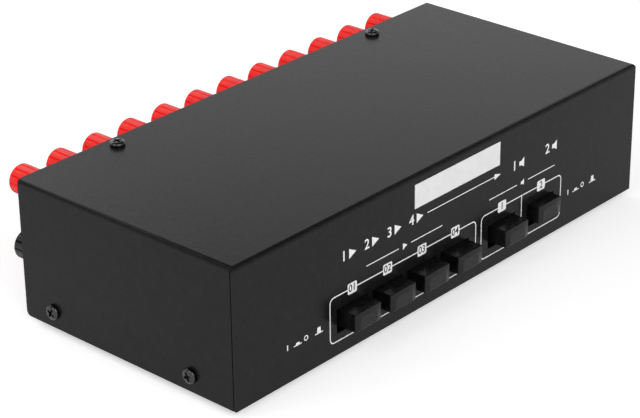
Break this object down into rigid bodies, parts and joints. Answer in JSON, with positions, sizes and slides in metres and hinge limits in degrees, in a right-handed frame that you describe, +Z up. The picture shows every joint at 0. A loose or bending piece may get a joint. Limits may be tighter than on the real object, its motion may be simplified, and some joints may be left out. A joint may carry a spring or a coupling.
{
  "type": "speaker selector switch",
  "caption": "Low folded-steel box with push buttons in front and two rows of fluted binding posts behind, for switching amplifiers to pairs of loudspeakers.",
  "frame": {"origin": "under the middle of the whole object, at the level that its feet stand on", "axes": "+Z up, +X to the right of a person facing the buttons, +Y from the buttons to the posts"},
  "size_m": [0.2386, 0.1334, 0.0606],
  "materials": {
    "case_paint": "fine matt black powder coat",
    "tray_paint": "fine matt black powder coat",
    "screw_finish": "black oxide, slightly glossy",
    "foot_rubber": "matt black rubber",
    "terminal_plastic": "moulded black plastic",
    "stud_brass": "gold-coloured plating",
    "link_metal": "tinned strip",
    "board_laminate": "brown laminate",
    "support_nylon": "natural nylon",
    "switch_plastic": "moulded dark grey plastic",
    "plunger_plastic": "white acetal",
    "button_plastic": "satin black plastic",
    "red_cap_plastic": "bright red moulded plastic",
    "black_cap_plastic": "black plastic",
    "spring_steel": "spring wire"
  },
  "bodies": {
    "case": {"top_cover": "case_paint", "base_tray": "tray_paint", "cover_screws": "screw_finish", "rubber_feet": "foot_rubber", "terminal_plate": "terminal_plastic", "red_row_studs": "stud_brass", "black_row_studs": "stud_brass", "red_bus_links": "link_metal", "black_bus_links": "link_metal", "main_board": "board_laminate", "board_supports": "support_nylon", "switch_body_01": "switch_plastic", "switch_body_02": "switch_plastic", "switch_body_03": "switch_plastic", "switch_body_04": "switch_plastic", "switch_body_a": "switch_plastic", "switch_body_b": "switch_plastic", "return_spring_01": "spring_steel", "return_spring_02": "spring_steel", "return_spring_03": "spring_steel", "return_spring_04": "spring_steel", "return_spring_a": "spring_steel", "return_spring_b": "spring_steel"},
    "push_button_01": {"button_01": "button_plastic", "plunger_01": "plunger_plastic"},
    "push_button_02": {"button_02": "button_plastic", "plunger_02": "plunger_plastic"},
    "push_button_03": {"button_03": "button_plastic", "plunger_03": "plunger_plastic"},
    "push_button_04": {"button_04": "button_plastic", "plunger_04": "plunger_plastic"},
    "push_button_a": {"button_a": "button_plastic", "plunger_a": "plunger_plastic"},
    "push_button_b": {"button_b": "button_plastic", "plunger_b": "plunger_plastic"},
    "red_terminal_cap_01": {"red_post_cap_01": "red_cap_plastic"},
    "red_terminal_cap_02": {"red_post_cap_02": "red_cap_plastic"},
    "red_terminal_cap_03": {"red_post_cap_03": "red_cap_plastic"},
    "red_terminal_cap_04": {"red_post_cap_04": "red_cap_plastic"},
    "red_terminal_cap_05": {"red_post_cap_05": "red_cap_plastic"},
    "red_terminal_cap_06": {"red_post_cap_06": "red_cap_plastic"},
    "red_terminal_cap_07": {"red_post_cap_07": "red_cap_plastic"},
    "red_terminal_cap_08": {"red_post_cap_08": "red_cap_plastic"},
    "red_terminal_cap_09": {"red_post_cap_09": "red_cap_plastic"},
    "red_terminal_cap_10": {"red_post_cap_10": "red_cap_plastic"},
    "red_terminal_cap_11": {"red_post_cap_11": "red_cap_plastic"},
    "red_terminal_cap_12": {"red_post_cap_12": "red_cap_plastic"},
    "black_terminal_cap_01": {"black_post_cap_01": "black_cap_plastic"},
    "black_terminal_cap_02": {"black_post_cap_02": "black_cap_plastic"},
    "black_terminal_cap_03": {"black_post_cap_03": "black_cap_plastic"},
    "black_terminal_cap_04": {"black_post_cap_04": "black_cap_plastic"},
    "black_terminal_cap_05": {"black_post_cap_05": "black_cap_plastic"},
    "black_terminal_cap_06": {"black_post_cap_06": "black_cap_plastic"},
    "black_terminal_cap_07": {"black_post_cap_07": "black_cap_plastic"},
    "black_terminal_cap_08": {"black_post_cap_08": "black_cap_plastic"},
    "black_terminal_cap_09": {"black_post_cap_09": "black_cap_plastic"},
    "black_terminal_cap_10": {"black_post_cap_10": "black_cap_plastic"},
    "black_terminal_cap_11": {"black_post_cap_11": "black_cap_plastic"},
    "black_terminal_cap_12": {"black_post_cap_12": "black_cap_plastic"}
  },
  "joints": [
    {"name": "button_01_push", "type": "slide", "parent": "case", "child": "push_button_01", "axis": [0, 1, 0], "range_m": [0, 0.0042], "stiffness_N_per_m": 300, "springref_m": -0.003, "deforming": ["return_spring_01"]},
    {"name": "button_02_push", "type": "slide", "parent": "case", "child": "push_button_02", "axis": [0, 1, 0], "range_m": [0, 0.0042], "stiffness_N_per_m": 300, "springref_m": -0.003, "deforming": ["return_spring_02"]},
    {"name": "button_03_push", "type": "slide", "parent": "case", "child": "push_button_03", "axis": [0, 1, 0], "range_m": [0, 0.0042], "stiffness_N_per_m": 300, "springref_m": -0.003, "deforming": ["return_spring_03"]},
    {"name": "button_04_push", "type": "slide", "parent": "case", "child": "push_button_04", "axis": [0, 1, 0], "range_m": [0, 0.0042], "stiffness_N_per_m": 300, "springref_m": -0.003, "deforming": ["return_spring_04"]},
    {"name": "button_a_push", "type": "slide", "parent": "case", "child": "push_button_a", "axis": [0, 1, 0], "range_m": [0, 0.0042], "stiffness_N_per_m": 300, "springref_m": -0.003, "deforming": ["return_spring_a"]},
    {"name": "button_b_push", "type": "slide", "parent": "case", "child": "push_button_b", "axis": [0, 1, 0], "range_m": [-0.0029, 0.0013], "stiffness_N_per_m": 300, "deforming": ["return_spring_b"]},
    {"name": "red_cap_01_unscrew", "type": "slide", "parent": "case", "child": "red_terminal_cap_01", "axis": [0, 1, 0], "range_m": [0, 0.005]},
    {"name": "red_cap_02_unscrew", "type": "slide", "parent": "case", "child": "red_terminal_cap_02", "axis": [0, 1, 0], "range_m": [0, 0.005]},
    {"name": "red_cap_03_unscrew", "type": "slide", "parent": "case", "child": "red_terminal_cap_03", "axis": [0, 1, 0], "range_m": [0, 0.005]},
    {"name": "red_cap_04_unscrew", "type": "slide", "parent": "case", "child": "red_terminal_cap_04", "axis": [0, 1, 0], "range_m": [0, 0.005]},
    {"name": "red_cap_05_unscrew", "type": "slide", "parent": "case", "child": "red_terminal_cap_05", "axis": [0, 1, 0], "range_m": [0, 0.005]},
    {"name": "red_cap_06_unscrew", "type": "slide", "parent": "case", "child": "red_terminal_cap_06", "axis": [0, 1, 0], "range_m": [0, 0.005]},
    {"name": "red_cap_07_unscrew", "type": "slide", "parent": "case", "child": "red_terminal_cap_07", "axis": [0, 1, 0], "range_m": [0, 0.005]},
    {"name": "red_cap_08_unscrew", "type": "slide", "parent": "case", "child": "red_terminal_cap_08", "axis": [0, 1, 0], "range_m": [0, 0.005]},
    {"name": "red_cap_09_unscrew", "type": "slide", "parent": "case", "child": "red_terminal_cap_09", "axis": [0, 1, 0], "range_m": [0, 0.005]},
    {"name": "red_cap_10_unscrew", "type": "slide", "parent": "case", "child": "red_terminal_cap_10", "axis": [0, 1, 0], "range_m": [0, 0.005]},
    {"name": "red_cap_11_unscrew", "type": "slide", "parent": "case", "child": "red_terminal_cap_11", "axis": [0, 1, 0], "range_m": [0, 0.005]},
    {"name": "red_cap_12_unscrew", "type": "slide", "parent": "case", "child": "red_terminal_cap_12", "axis": [0, 1, 0], "range_m": [0, 0.005]},
    {"name": "black_cap_01_unscrew", "type": "slide", "parent": "case", "child": "black_terminal_cap_01", "axis": [0, 1, 0], "range_m": [0, 0.005]},
    {"name": "black_cap_02_unscrew", "type": "slide", "parent": "case", "child": "black_terminal_cap_02", "axis": [0, 1, 0], "range_m": [0, 0.005]},
    {"name": "black_cap_03_unscrew", "type": "slide", "parent": "case", "child": "black_terminal_cap_03", "axis": [0, 1, 0], "range_m": [0, 0.005]},
    {"name": "black_cap_04_unscrew", "type": "slide", "parent": "case", "child": "black_terminal_cap_04", "axis": [0, 1, 0], "range_m": [0, 0.005]},
    {"name": "black_cap_05_unscrew", "type": "slide", "parent": "case", "child": "black_terminal_cap_05", "axis": [0, 1, 0], "range_m": [0, 0.005]},
    {"name": "black_cap_06_unscrew", "type": "slide", "parent": "case", "child": "black_terminal_cap_06", "axis": [0, 1, 0], "range_m": [0, 0.005]},
    {"name": "black_cap_07_unscrew", "type": "slide", "parent": "case", "child": "black_terminal_cap_07", "axis": [0, 1, 0], "range_m": [0, 0.005]},
    {"name": "black_cap_08_unscrew", "type": "slide", "parent": "case", "child": "black_terminal_cap_08", "axis": [0, 1, 0], "range_m": [0, 0.005]},
    {"name": "black_cap_09_unscrew", "type": "slide", "parent": "case", "child": "black_terminal_cap_09", "axis": [0, 1, 0], "range_m": [0, 0.005]},
    {"name": "black_cap_10_unscrew", "type": "slide", "parent": "case", "child": "black_terminal_cap_10", "axis": [0, 1, 0], "range_m": [0, 0.005]},
    {"name": "black_cap_11_unscrew", "type": "slide", "parent": "case", "child": "black_terminal_cap_11", "axis": [0, 1, 0], "range_m": [0, 0.005]},
    {"name": "black_cap_12_unscrew", "type": "slide", "parent": "case", "child": "black_terminal_cap_12", "axis": [0, 1, 0], "range_m": [0, 0.005]}
  ]
}
